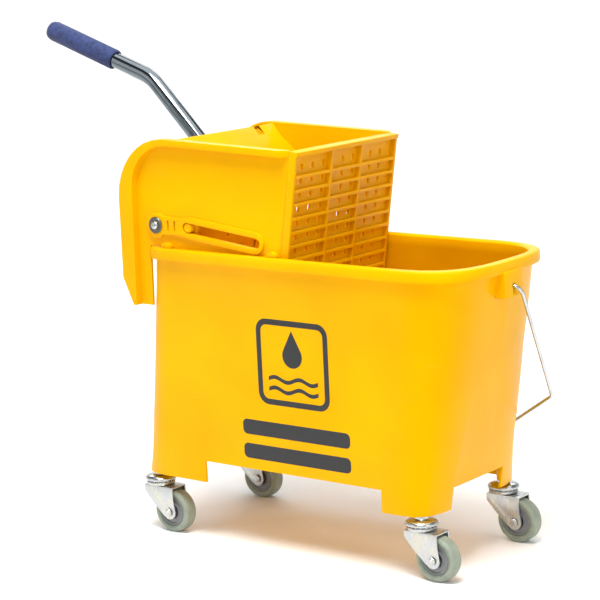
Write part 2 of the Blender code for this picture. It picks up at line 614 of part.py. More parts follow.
def side_panel(side, name):
    """One side of the wringer: a flat panel with a raised border, hooked over the bucket's rear wall."""
    inner = side * (SIDE_OUT - SIDE_T)
    outer = side * SIDE_OUT
    foot = floor_z(SLIT_FRONT) - 0.006
    low_front = grid_x(GRID_LOW - 0.006) - GAP
    outline = d_edge(0.0)
    outline += [(SKIRT_FRONT, SKIRT_LOW), (SKIRT_FRONT, RIM_TOP + GAP), (SLIT_FRONT, RIM_TOP + GAP),
                (SLIT_FRONT, foot), (low_front, GRID_LOW - 0.006)]
    panel = plate(outline, inner, outer)
    raised = side * (SIDE_OUT + BORDER_OUT)
    rim = d_edge(0.0) + list(reversed(border_inner()))
    border = plate(rim, outer - side * SIDE_T / 2, raised)
    combine(panel, border, "UNION")
    pocket = d_edge(SIDE_T)[1:-1] + list(reversed(border_inner(SIDE_T, SKIRT_CORNER)))[:-1]
    combine(panel, plate(pocket, side * (SIDE_OUT - SIDE_T - 0.001), raised - side * SIDE_T), "DIFFERENCE")
    corner = Vector((grid_x(SIDE_TOP_FRONT) + 0.0095, raised + side * 0.0100, SIDE_TOP_FRONT - 0.02))
    combine(panel, rod(corner, corner + Vector((0, 0, 0.04)), 0.030, sides=4), "DIFFERENCE")
    combine(panel, plate(guide_border(), outer - side * SIDE_T / 2, outer + side * 0.0032), "UNION")
    combine(panel, plate(guide_slot(PIN_R + RUN / 2), inner - side * 0.01, raised), "DIFFERENCE")
    bore = rod((PIVOT.x, inner - side * 0.02, PIVOT.z), (PIVOT.x, side * (SIDE_OUT + 0.0225), PIVOT.z),
               SHAFT_R + GAP)
    combine(panel, bore, "DIFFERENCE")
    for x in (PIVOT.x + 0.0165, PIVOT.x + 0.0260):
        z = PIVOT.z + 0.0005
        combine(panel, box(*ordered((x, inner - side * 0.01, z - 0.006), (x + 0.0024, raised, z + 0.006))),
                "DIFFERENCE")
    for x in (SLIT_FRONT + 0.002, grid_x(RIM_TOP) - 0.016):
        tab = [(x + 0.006 + px, RIM_TOP + GAP + pz) for px, pz in arc((0, 0), 0.006, 0, 180, 6)]
        combine(panel, plate(tab, outer - side * SIDE_T / 2, side * (SIDE_OUT + 0.0075)), "UNION")
    for z in (RIM_TOP - 0.056, RIM_TOP - 0.031):
        for x in (REAR_TOP + 0.092, REAR_TOP + 0.122, REAR_TOP + 0.152):
            combine(panel, box(*ordered((x, inner - side * 0.01, z), (x + 0.014, raised, z + 0.004))),
                    "DIFFERENCE")
    return keep(panel, name, "polypropylene_yellow")


def ordered(a, b):
    return tuple(map(min, a, b)), tuple(map(max, a, b))


def border_inner(shift=0.0, low=SKIRT_LOW):
    """Inner edge of the raised border, moved towards the edge by shift, down to height low."""
    level = SIDE_TOP_FRONT - BORDER_TOP_W + shift
    inside = SIDE_REAR + BORDER_W - shift
    hub = (SHOULDER_X + 0.0030, SIDE_TOP_REAR - 0.0580)
    edge = [(grid_x(level) - GAP - 0.0005, level), (hub[0], SIDE_TOP_REAR - BORDER_TOP_W + shift)]
    for i in range(1, 6):
        a = math.radians(90 + 90 * i / 6)
        edge.append((hub[0] + (hub[0] - inside) * math.cos(a),
                     hub[1] + (0.0580 - BORDER_TOP_W + shift) * math.sin(a)))
    edge.append((inside, hub[1]))
    edge.append((inside, low))
    return edge


def slide_point(travel, lift=0.0):
    """Point on the slide's line, travel along it and lift square to it."""
    return (SLOT_START.x + travel * math.cos(PRESS_TILT) + lift * math.sin(PRESS_TILT),
            SLOT_START.z - travel * math.sin(PRESS_TILT) + lift * math.cos(PRESS_TILT))


def guide_slot(radius, extra=0.0):
    """Slot with round ends that guides a press-plate pin."""
    tilt = math.degrees(PRESS_TILT)
    start, end = slide_point(-0.001), slide_point(STROKE + 0.0015)
    return arc(end, radius, -90 - tilt, 90 - tilt, 8) + arc(start, radius, 90 - tilt, 270 - tilt, 8)


def guide_border():
    """Spoon-shaped raised border round the slot and the pivot."""
    tilt = math.degrees(PRESS_TILT)
    wide = PIN_R + 0.0070
    hub = (PIVOT.x, PIVOT.z)
    neck = 0.0098
    end, start = slide_point(STROKE), slide_point(0.002)
    shape = arc(end, wide, -90 - tilt, 90 - tilt, 8)
    shape += arc(start, wide, 90 - tilt, 118, 3)
    shape += [(PIVOT.x + 0.0260, PIVOT.z + neck)]
    shape += arc(hub, 0.0145, 48, 312, 12)
    shape += [(PIVOT.x + 0.0260, PIVOT.z - neck)]
    shape += arc(start, wide, 236, 270 - tilt, 3)
    return shape


def spread(first, last, count, width):
    """Edges of equal holes spaced evenly between two lines."""
    pitch = (last - first) / count
    lines = []
    for i in range(count):
        middle = first + pitch * (i + 0.5)
        lines += [middle - width / 2, middle + width / 2]
    return lines


def front_grid():
    """Perforated wall that the mop is pressed against, with ribs on its outer face."""
    half = SIDE_OUT
    us, kinds = [-half], []
    left = -half
    for share, holes in GRID_COLUMNS:
        right = left + 2 * half * share
        first = left + (RIB_W if left == -half else RIB_W / 2)
        last = right - (RIB_W if right > half - RIB_W else RIB_W / 2)
        us.append(first)
        kinds.append("rib")
        for hole in holes:
            middle = mix(first, last, hole)
            us += [middle - HOLE_W / 2, middle + HOLE_W / 2]
            kinds += ["web", "hole"]
        us.append(last)
        kinds.append("web")
        left = right
    us.append(half)
    kinds.append("rib")
    lean = math.cos(GRID_TILT)
    top = (SIDE_TOP_FRONT - 0.0008 - GRID_LOW) / lean
    vs, rows = [0.0, RIB_W], ["rib"]
    count = int((top - TOP_ROW) / ROW_PITCH)
    base = top - TOP_ROW - count * ROW_PITCH
    for i in range(count + 1):
        low = base + ROW_PITCH * i
        start = low + RIB_W if low > RIB_W else RIB_W + 0.002
        hole = low + ROW_PITCH - HOLE_UNDER
        if vs[-1] < low:
            vs.append(low)
            rows.append("web")
        vs += [start, hole - HOLE_H, hole]
        rows += ["rib", "web", "hole"]
    vs += [top - BROW_W, top]
    rows += ["web", "brow"]

    def depth(i, j):
        if rows[j] == "brow":
            return GRID_T + RIB_OUT + BROW_OUT
        if "rib" in (kinds[i], rows[j]):
            return GRID_T + RIB_OUT
        return 0.0 if kinds[i] == "hole" and rows[j] == "hole" else GRID_T

    def place(u, v, d):
        z = GRID_LOW + v * lean - d * math.sin(GRID_TILT)
        return (grid_x(GRID_LOW) + v * math.sin(GRID_TILT) + d * lean, u, z)

    return keep(lattice(us, vs, depth, place), "front_grid", "polypropylene_yellow")


def wringer_floor():
    """Perforated floor of the wringer, parallel to the press plate's slide."""
    half = SIDE_OUT - SIDE_T - GAP
    rear = FLOOR_REAR
    length = (grid_x(GRID_LOW) - 0.0006 - rear) / math.cos(PRESS_TILT)
    us = [-half] + spread(-half + 0.006, half - 0.006, 6, 0.006) + [half]
    vs = [0.0] + spread(0.006, length - 0.004, 5, 0.016) + [length]

    def depth(i, j):
        return 0.0 if i % 2 == 1 and j % 2 == 1 else FLOOR_PANEL_T

    def place(u, v, d):
        x = rear + v * math.cos(PRESS_TILT) + d * math.sin(PRESS_TILT)
        z = floor_z(rear) - FLOOR_PANEL_T - v * math.sin(PRESS_TILT) + d * math.cos(PRESS_TILT)
        return (x, u, z)

    return keep(lattice(us, vs, depth, place), "wringer_floor", "polypropylene_yellow")


def rear_cover():
    """Bent sheet that funnels the mop in and hides the foot of the lever."""
    half = SIDE_OUT - SIDE_T - GAP
    line = [(SHOULDER_X + x, SIDE_TOP_REAR + z) for x, z in
            ((0.0035, -0.0050), (0.0065, -0.0015), (0.0190, -0.0165), (0.0390, -0.0325), (0.0430, -0.0420))]
    thick = 0.0026
    lower = []
    for i, point in enumerate(line):
        before, after = Vector(line[max(i - 1, 0)]), Vector(line[min(i + 1, len(line) - 1)])
        along = (after - before).normalized()
        lower.append((point[0] + along.y * thick, point[1] - along.x * thick))
    cover = plate(line + list(reversed(lower)), -half, half)
    notch = box((SHOULDER_X - 0.007, 0.055, SIDE_TOP_REAR - 0.0135),
                (SHOULDER_X + 0.0145, 0.067, SIDE_TOP_REAR + 0.0045))
    combine(cover, notch, "DIFFERENCE")
    return keep(cover, "rear_cover", "polypropylene_yellow")


# ---------------------------------------------------------------- lever and press plate
def lever_line():
    """Direction of the lever's lower run, and the foot of the perpendicular from the pivot."""
    along = Vector((math.cos(LEVER_ANGLE), 0, math.sin(LEVER_ANGLE)))
    square = Vector((math.sin(LEVER_ANGLE), 0, -math.cos(LEVER_ANGLE)))
    return along, PIVOT + square * LEVER_OFFSET


def pivot_hardware():
    """Shaft through both sides, a washer outside each, and a domed screw in each end."""
    end = SIDE_OUT + 0.0032 + GAP
    length = Vector((0, end + WASHER_T, 0))
    shaft = rod(PIVOT - length, PIVOT + length, SHAFT_R, sides=20)
    for side in (1, -1):
        hole = rod(PIVOT + Vector((0, side * (end - 0.016), 0)), PIVOT + Vector((0, side * (end + 0.029), 0)),
                   0.0025 + GAP, sides=12)
        combine(shaft, hole, "DIFFERENCE")
    keep(shaft, "pivot_shaft", "zinc_plated_steel")
    for side, word in ((1, "left"), (-1, "right")):
        seat = PIVOT + Vector((0, side * end, 0))
        washer = turned([(SHAFT_R + GAP, WASHER_T), (WASHER_R - 0.0004, WASHER_T),
                         (WASHER_R, WASHER_T - 0.0004), (WASHER_R, 0), (SHAFT_R + GAP, 0),
                         (SHAFT_R + GAP, WASHER_T)], (0, side, 0), seat, sides=20)
        keep(washer, f"pivot_washer_{word}", "zinc_plated_steel")
        head = WASHER_T + GAP
        screw = turned([(0, head + BOLT_HEAD_H), (BOLT_HEAD_R * 0.5, head + BOLT_HEAD_H * 0.86),
                        (BOLT_HEAD_R * 0.87, head + BOLT_HEAD_H * 0.5), (BOLT_HEAD_R, head), (0.0025, head),
                        (0.0025, -0.015), (0, -0.0155)], (0, side, 0), seat, sides=12)
        keep(screw, f"pivot_screw_{word}", "zinc_plated_steel")


def crank_pin():
    angle = CRANK_REST - PRESS_TILT
    return PIVOT + Vector((math.cos(angle), 0, math.sin(angle))) * CRANK


def lever_yoke():
    """Hub on the shaft with the lever's socket above and a crank arm down each side."""
    along, foot = lever_line()
    yoke = rod(PIVOT - Vector((0, HUB_HALF, 0)), PIVOT + Vector((0, HUB_HALF, 0)), HUB_R, sides=20)
    mouth = foot + along * (SOCKET_L - LEVER_FOOT)
    base = foot - along * (LEVER_FOOT + 0.006)
    neck_half = 0.0105
    neck = [(PIVOT.x - 0.0100, PIVOT.z + 0.003), (PIVOT.x + 0.0080, PIVOT.z - 0.0075),
            (base.x + 0.004, base.z - 0.002), (foot.x + along.x * 0.018, foot.z + along.z * 0.018)]
    combine(yoke, plate(neck, -neck_half, neck_half), "UNION")
    combine(yoke, rod(base, mouth, SOCKET_R, sides=20), "UNION")
    combine(yoke, rod(foot - along * (LEVER_FOOT + GAP), mouth + along * 0.02, LEVER_R + GAP, sides=20),
            "DIFFERENCE")
    pin = crank_pin()
    down = (pin - PIVOT).normalized()
    for side in (1, -1):
        y = side * (HUB_HALF - ARM_T)
        angle = math.degrees(math.atan2(down.z, down.x))
        arm = arc((PIVOT.x, PIVOT.z), ARM_W / 2 + 0.002, angle + 90, angle + 270, 6)
        arm += arc((pin.x, pin.z), ARM_W / 2 - 0.001, angle - 90, angle + 90, 6)
        combine(yoke, plate(arm, y, side * HUB_HALF), "UNION")
        stub = rod(pin + Vector((0, side * (HUB_HALF - 0.002), 0)),
                   pin + Vector((0, side * (HUB_HALF + 2 * RUN + WEB_T + 0.002), 0)), CRANK_PIN_R, sides=12)
        combine(yoke, stub, "UNION")
    through = Vector((0, HUB_HALF + 0.044, 0))
    bore = rod(PIVOT - through, PIVOT + through, SHAFT_R + GAP, sides=20)
    combine(yoke, bore, "DIFFERENCE")
    keep(yoke, "lever_yoke", "polypropylene_yellow", origin=PIVOT)


def lever():
    along, foot = lever_line()
    upper = Vector((math.cos(GRIP_ANGLE), 0, math.sin(GRIP_ANGLE)))
    start = foot - along * LEVER_FOOT
    bend = foot + along * LEVER_STRAIGHT
    tip = bend + upper * LEVER_UPPER
    end = tip - upper * 0.006
    bar = tube(rounded([start, bend, end], LEVER_BEND, steps=6), LEVER_R, resolution=3)
    bore = tube(rounded([start - along * 0.01, bend, end + upper * 0.01], LEVER_BEND, steps=6),
                LEVER_R - LEVER_T, resolution=3)
    combine(bar, bore, "DIFFERENCE")
    keep(bar, "lever_tube", "chromed_steel", origin=PIVOT)
    grip = turned([(0, GRIP_L), (GRIP_R * 0.55, GRIP_L - 0.0008), (GRIP_R * 0.88, GRIP_L - 0.0035),
                   (GRIP_R, GRIP_L - 0.0085), (GRIP_R, 0.0015), (GRIP_R - 0.0015, 0), (LEVER_R + GAP, 0),
                   (LEVER_R + GAP, GRIP_L - 0.006 + GAP), (0, GRIP_L - 0.006 + GAP)],
                  upper, tip - upper * GRIP_L, sides=20)
    keep(grip, "lever_grip", "blue_foam", smooth=50, origin=PIVOT)


def press_plate():
    """Plate that squeezes the mop, with two webs whose cam slots take the crank pins."""
    half = SIDE_OUT - SIDE_T - 2 * RUN
    lean = math.tan(GRID_TILT)

    def back(z):
        return SLOT_START.x + (z - SLOT_START.z) * lean - PRESS_T / 2

    slab = plate([(back(PRESS_LOW), PRESS_LOW), (back(PRESS_LOW) + PRESS_T, PRESS_LOW),
                  (back(PRESS_HIGH) + PRESS_T, PRESS_HIGH), (back(PRESS_HIGH), PRESS_HIGH)], -half, half)
    path = []
    for i in range(13):
        turn = LEVER_TURN * i / 12
        run = CRANK * math.cos(CRANK_REST + turn) - STROKE * i / 12
        lift = CRANK * math.sin(CRANK_REST + turn)
        path.append(Vector((PIVOT.x + run * math.cos(PRESS_TILT) + lift * math.sin(PRESS_TILT),
                            PIVOT.z - run * math.sin(PRESS_TILT) + lift * math.cos(PRESS_TILT))))
    slot = widened(path, CRANK_PIN_R + RUN / 2)
    rim = widened(path, CRANK_PIN_R + 0.0055)
    for side in (1, -1):
        y0 = side * (HUB_HALF + RUN)
        y1 = y0 + side * WEB_T
        web = plate(rim, y0, y1)
        foot = PRESS_LOW + 0.004
        gusset = [(path[0].x - 0.002, path[0].y - 0.0095), (back(foot) + 0.001, foot),
                  (back(path[-1].y) + 0.001, path[-1].y), (path[-1].x + 0.002, path[-1].y + 0.004)]
        combine(web, plate(gusset, y0, y1), "UNION")
        combine(web, plate(slot, y0 - side * 0.01, y1 + side * 0.01), "DIFFERENCE")
        combine(slab, web, "UNION")
        ear = plate(arc((SLOT_START.x, SLOT_START.z), PIN_R + 0.004, 0, 360 - 30, 11),
                    side * (half - 0.006), side * half)
        combine(slab, ear, "UNION")
    room = SOCKET_R + 0.004
    combine(slab, box((-0.2, -room, PRESS_NOTCH), (0.0, room, PRESS_HIGH + 0.02)), "DIFFERENCE")
    for z in [PRESS_LOW + 0.018 + 0.022 * i for i in range(4)]:
        for y in [-0.078 + 0.026 * i for i in range(7)]:
            if abs(abs(y) - HUB_HALF - RUN) < 0.010:
                continue
            middle = Vector((back(z) + PRESS_T / 2, y, z))
            reach = Vector((0.0080, 0.0022, 0.0050))
            combine(slab, box(middle - reach, middle + reach), "DIFFERENCE")
    keep(slab, "press_plate", "polypropylene_yellow", origin=SLOT_START)


def widened(path, radius):
    """Outline of a slot that follows a path of points in x and z."""
    left, right = [], []
    for i, point in enumerate(path):
        along = (path[min(i + 1, len(path) - 1)] - path[max(i - 1, 0)]).normalized()
        square = Vector((-along.y, along.x)) * radius
        left.append(tuple(point + square))
        right.append(tuple(point - square))
    first = (path[0] - path[1]).normalized()
    last = (path[-1] - path[-2]).normalized()
    head = math.degrees(math.atan2(last.y, last.x))
    tail = math.degrees(math.atan2(first.y, first.x))
    return (right + arc(tuple(path[-1]), radius, head - 90, head + 90, 6)[1:-1]
            + list(reversed(left)) + arc(tuple(path[0]), radius, tail - 90, tail + 90, 6)[1:-1])


def press_pins():
    """Round pins on the plate's ends, which run in the side slots."""
    half = SIDE_OUT - SIDE_T - 2 * RUN
    for side, word in ((1, "left"), (-1, "right")):
        base = Vector((SLOT_START.x, side * (half + GAP), SLOT_START.z))
        pin = turned([(0, SIDE_OUT + 0.0025 - half), (PIN_R - 0.001, SIDE_OUT + 0.0025 - half),
                      (PIN_R, SIDE_OUT + 0.0015 - half), (PIN_R, 0), (0, 0)], (0, side, 0), base, sides=20)
        keep(pin, f"press_pin_{word}", "polypropylene_yellow", origin=SLOT_START)


# ---------------------------------------------------------------- assembly
bucket_shell()
for corner_name, (stem_x, stem_y) in STEMS.items():
    castor(corner_name, stem_x, stem_y)
bail()
side_panel(1, "wringer_side_left")
side_panel(-1, "wringer_side_right")
front_grid()
wringer_floor()
rear_cover()
pivot_hardware()
lever_yoke()
lever()
press_plate()
press_pins()


def centre_footprint():
    """Move every part so that the middle of the whole footprint is the origin."""
    places = [part.location + vertex.co for part in parts.objects for vertex in part.data.vertices]
    middle_x = (min(p.x for p in places) + max(p.x for p in places)) / 2
    middle_y = (min(p.y for p in places) + max(p.y for p in places)) / 2
    for part in parts.objects:
        part.location -= Vector((middle_x, middle_y, 0.0))


centre_footprint()
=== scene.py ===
import math

import bmesh
import bpy
from mathutils import Matrix, Vector


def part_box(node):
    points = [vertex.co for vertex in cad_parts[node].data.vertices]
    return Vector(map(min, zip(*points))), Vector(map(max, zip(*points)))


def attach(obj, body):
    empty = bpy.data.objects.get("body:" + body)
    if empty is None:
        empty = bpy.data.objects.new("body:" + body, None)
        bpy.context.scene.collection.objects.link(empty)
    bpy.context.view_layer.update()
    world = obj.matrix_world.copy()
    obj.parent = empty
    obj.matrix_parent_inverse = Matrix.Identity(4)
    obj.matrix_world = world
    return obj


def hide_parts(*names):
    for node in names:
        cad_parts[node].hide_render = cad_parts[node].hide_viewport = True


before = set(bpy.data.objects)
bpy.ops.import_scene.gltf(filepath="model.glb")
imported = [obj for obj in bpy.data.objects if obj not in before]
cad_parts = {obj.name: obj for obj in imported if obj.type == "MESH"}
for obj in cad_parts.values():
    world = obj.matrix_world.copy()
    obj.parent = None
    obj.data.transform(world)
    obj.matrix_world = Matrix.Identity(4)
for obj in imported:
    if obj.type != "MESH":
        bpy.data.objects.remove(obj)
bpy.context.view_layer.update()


# ================================================================ bucket
# The tub is one injection moulding in yellow polypropylene, drawn out of the mould upwards: the walls
# lean out, the rim is rolled over for stiffness, and four hollow legs stand below the floor.
def linear(code):
    """An sRGB hex colour as the linear one that shaders use."""
    channels = [int(code[i:i + 2], 16) / 255 for i in (1, 3, 5)]
    return tuple(c / 12.92 if c <= 0.04045 else ((c + 0.055) / 1.055) ** 2.4 for c in channels) + (1.0,)


def new_material(name):
    made = bpy.data.materials.new(name)
    made.use_nodes = True
    return made, made.node_tree, made.node_tree.nodes["Principled BSDF"]


def add_node(tree, kind, inputs=None, **settings):
    """Adds one node with its settings; an input is a value or another node's output."""
    made = tree.nodes.new("ShaderNode" + kind)
    for name, value in settings.items():
        setattr(made, name, value)
    for name, value in (inputs or {}).items():
        if isinstance(value, bpy.types.NodeSocket):
            tree.links.new(value, made.inputs[name])
        else:
            made.inputs[name].default_value = value
    return made


def per_metre(millimetres):
    """Pattern scale for features of this size."""
    return 1000.0 / millimetres


def moulded_polypropylene(name, deep, bright):
    """Gives a soft satin gloss over an even, saturated yellow, with slow clouds of tint where the
    colour was mixed in, a faint orange-peel skin, and fine rubbed lines from use. The rubbed lines
    are about 0.3 mm wide and are drawn at 2.5 mm, and the skin of about 1 mm at 3.2 mm, so they show."""
    made, tree, shader = new_material(name)
    place = add_node(tree, "TexCoord").outputs["Object"]
    cloud = add_node(tree, "TexNoise", {"Vector": place, "Scale": per_metre(110), "Detail": 2.0})
    share = add_node(tree, "MapRange", {"Value": cloud.outputs["Fac"], "From Min": 0.32, "From Max": 0.68})
    tint = add_node(tree, "Mix", {0: share.outputs["Result"], 6: linear(deep), 7: linear(bright)},
                    data_type="RGBA")
    strokes = add_node(tree, "Mapping", {"Vector": place, "Scale": (0.10, 0.10, 1.0)})
    rubbed = add_node(tree, "TexNoise", {"Vector": strokes.outputs["Vector"], "Scale": per_metre(2.5),
                                         "Detail": 5.0, "Roughness": 0.65})
    lines = add_node(tree, "MapRange", {"Value": rubbed.outputs["Fac"], "From Min": 0.58, "From Max": 0.78})
    worn = add_node(tree, "TexNoise", {"Vector": place, "Scale": per_metre(45), "Detail": 3.0})
    patch = add_node(tree, "MapRange", {"Value": worn.outputs["Fac"], "From Min": 0.42, "From Max": 0.66})
    scuff = add_node(tree, "Math", {0: lines.outputs["Result"], 1: patch.outputs["Result"]},
                     operation="MULTIPLY")
    pale = add_node(tree, "Math", {0: scuff.outputs["Value"], 1: 0.22}, operation="MULTIPLY")
    skin = add_node(tree, "Mix", {0: pale.outputs["Value"], 6: tint.outputs[2], 7: linear("#FFD25A")},
                    data_type="RGBA")
    gloss = add_node(tree, "MapRange", {"Value": worn.outputs["Fac"], "From Min": 0.3, "From Max": 0.7,
                                        "To Min": 0.30, "To Max": 0.38})
    rough = add_node(tree, "Math", {0: scuff.outputs["Value"], 1: 0.22, 2: gloss.outputs["Result"]},
                     operation="MULTIPLY_ADD")
    peel = add_node(tree, "TexNoise", {"Vector": place, "Scale": per_metre(3.2), "Detail": 1.0})
    relief = add_node(tree, "Bump", {"Height": peel.outputs["Fac"], "Strength": 0.10, "Distance": 0.0006})
    tree.links.new(skin.outputs[2], shader.inputs["Base Color"])
    tree.links.new(rough.outputs["Value"], shader.inputs["Roughness"])
    tree.links.new(relief.outputs["Normal"], shader.inputs["Normal"])
    shader.inputs["IOR"].default_value = 1.49
    shader.inputs["Specular IOR Level"].default_value = 0.25
    shader.inputs["Specular Tint"].default_value = linear("#FFC832")
    return made


WELD = 0.00002


def clean_mesh(node, flat):
    """The node's own solid as one welded mesh, with the faces of each flat made whole."""
    bm = bmesh.new()
    bm.from_mesh(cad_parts[node].data)
    bmesh.ops.remove_doubles(bm, verts=bm.verts, dist=WELD)
    bmesh.ops.dissolve_limit(bm, angle_limit=math.radians(flat), verts=bm.verts, edges=bm.edges)
    bm.verts.index_update()
    mesh = bpy.data.meshes.new(node + "_surface")
    mesh.from_pydata([v.co for v in bm.verts], [], [[v.index for v in f.verts] for f in bm.faces])
    bm.free()
    return mesh


def settle(thing, smooth):
    """Leaves the modifiers' result on the piece as plain mesh, shaded round up to an angle."""
    graph = bpy.context.evaluated_depsgraph_get()
    mesh = bpy.data.meshes.new_from_object(thing.evaluated_get(graph))
    thing.modifiers.clear()
    thing.data = mesh
    mesh.shade_smooth()
    mesh.set_sharp_from_angle(angle=math.radians(smooth))
    return thing


def piece(name, mesh, finish):
    thing = bpy.data.objects.new(name, mesh)
    bpy.context.scene.collection.objects.link(thing)
    mesh.materials.clear()
    mesh.materials.append(finish)
    return thing


def eased(node, name, finish, body, edge=0.0008, angle=30, segments=3, smooth=35, flat=1.0):
    """The node's shape with every hard edge rounded off, as a mould or a press leaves it."""
    thing = piece(name, clean_mesh(node, flat), finish)
    rounding = thing.modifiers.new("rounding", "BEVEL")
    rounding.width = edge
    rounding.segments = segments
    rounding.limit_method = "ANGLE"
    rounding.angle_limit = math.radians(angle)
    rounding.use_clamp_overlap = True
    evening = thing.modifiers.new("evening", "WEIGHTED_NORMAL")
    evening.keep_sharp = True
    settle(thing, smooth)
    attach(thing, body)
    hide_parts(node)
    return thing


tub_yellow = moulded_polypropylene("injection_moulded_polypropylene", "#E6A600", "#EDB000")
bucket = eased("bucket_shell", "bucket_moulding", tub_yellow, "bucket", edge=0.0010)


# ================================================================ printed sign
# A black mark is pad-printed on the near side: a framed square with a drop over waves, and two bars
# below it. The ink film is a few hundredths of a millimetre thick and follows the wall.
def pad_printed_ink():
    """Gives a dense matt black with pinholes, a little thin at the edges of the strokes."""
    made, tree, shader = new_material("pad_printed_ink")
    place = add_node(tree, "TexCoord").outputs["Object"]
    speck = add_node(tree, "TexNoise", {"Vector": place, "Scale": per_metre(1.1), "Detail": 3.0})
    thin = add_node(tree, "MapRange", {"Value": speck.outputs["Fac"], "From Min": 0.60, "From Max": 0.85})
    ink = add_node(tree, "Mix", {0: thin.outputs["Result"], 6: linear("#1E2024"), 7: linear("#4A3F26")},
                   data_type="RGBA")
    rough = add_node(tree, "MapRange", {"Value": speck.outputs["Fac"], "To Min": 0.42, "To Max": 0.60})
    tree.links.new(ink.outputs[2], shader.inputs["Base Color"])
    tree.links.new(rough.outputs["Result"], shader.inputs["Roughness"])
    return made


def bar(x0, z0, x1, z1, radius, steps=8):
    """Outline of a bar with round corners."""
    outline = []
    for cx, cz, first in ((x1 - radius, z0 + radius, -90), (x1 - radius, z1 - radius, 0),
                          (x0 + radius, z1 - radius, 90), (x0 + radius, z0 + radius, 180)):
        for i in range(steps + 1):
            a = math.radians(first + 90 * i / steps)
            outline.append((cx + radius * math.cos(a), cz + radius * math.sin(a)))
    return outline


def wave(x0, x1, z, rise, width, crests=2, steps=48):
    """Outline of a wavy stroke."""
    upper, lower = [], []
    for i in range(steps + 1):
        x = x0 + (x1 - x0) * i / steps
        crest = z + rise * math.sin(math.tau * crests * i / steps)
        upper.append((x, crest + width / 2))
        lower.append((x, crest - width / 2))
    return lower + list(reversed(upper))


def drop(x, z, radius, tip, steps=24):
    """Outline of a falling drop: round below, drawn up to a point."""
    outline = [(x, z + tip)]
    open_angle = math.degrees(math.acos(radius / tip))
    for i in range(steps + 1):
        a = math.radians(90 + open_angle + (360 - 2 * open_angle) * i / steps)
        outline.append((x + radius * math.cos(a), z + radius * math.sin(a)))
    return outline


INK = 0.00006
SIGN_SIDE, SIGN_CORNER, FRAME_W, FRAME_CORNER = 0.0980, 0.014, 0.0066, 0.008
DROP_UP, DROP_R, DROP_TIP = 0.0580, 0.0135, 0.0290
WAVE_INSET, WAVE_RISE, WAVE_W, WAVE_LEVELS = 0.015, 0.0024, 0.0046, (0.0180, 0.0300)
BAR_HALF, BAR_CORNER = 0.0740, 0.0060
BARS = ((-0.0380, -0.0205), (-0.0660, -0.0485))
tub_low, tub_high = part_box("bucket_shell")
sign_x = tub_low.x + 0.2260
sign_base = tub_low.z + 0.1040
ink_bm = bmesh.new()
bpy.context.view_layer.update()


def print_shape(outline, hole=None):
    """Lays an outline on the wall's near face as a film of ink, with an opening in it if one is given."""
    made = bmesh.new()
    rings = [outline] + ([hole] if hole else [])
    edges = []
    for ring in rings:
        verts = [made.verts.new((x, 0.0, z)) for x, z in ring]
        edges += [made.edges.new((verts[i - 1], verts[i])) for i in range(len(verts))]
    bmesh.ops.triangle_fill(made, edges=edges, use_beauty=True)
    bmesh.ops.recalc_face_normals(made, faces=made.faces)
    placed = {}
    for vert in made.verts:
        start = Vector((vert.co.x, tub_low.y - 0.1, vert.co.z))
        _, point, _, _ = bucket.ray_cast(start, Vector((0, 1, 0)))
        placed[vert] = ink_bm.verts.new((point.x, point.y - INK, point.z))
    for face in made.faces:
        corners = [placed[v] for v in face.verts]
        if (corners[1].co - corners[0].co).cross(corners[2].co - corners[0].co).y > 0:
            corners.reverse()
        ink_bm.faces.new(corners)
    made.free()


left, right = sign_x - SIGN_SIDE / 2, sign_x + SIGN_SIDE / 2
print_shape(bar(left, sign_base, right, sign_base + SIGN_SIDE, SIGN_CORNER),
            list(reversed(bar(left + FRAME_W, sign_base + FRAME_W, right - FRAME_W,
                              sign_base + SIGN_SIDE - FRAME_W, FRAME_CORNER))))
print_shape(drop(sign_x, sign_base + DROP_UP, DROP_R, DROP_TIP))
for wave_up in WAVE_LEVELS:
    print_shape(wave(left + WAVE_INSET, right - WAVE_INSET, sign_base + wave_up, WAVE_RISE, WAVE_W))
for low, high in BARS:
    print_shape(bar(sign_x - BAR_HALF, sign_base + low, sign_x + BAR_HALF, sign_base + high, BAR_CORNER))
ink_mesh = bpy.data.meshes.new("sign")
ink_bm.to_mesh(ink_mesh)
ink_bm.free()
sign = piece("printed_sign", ink_mesh, pad_printed_ink())
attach(sign, "bucket")


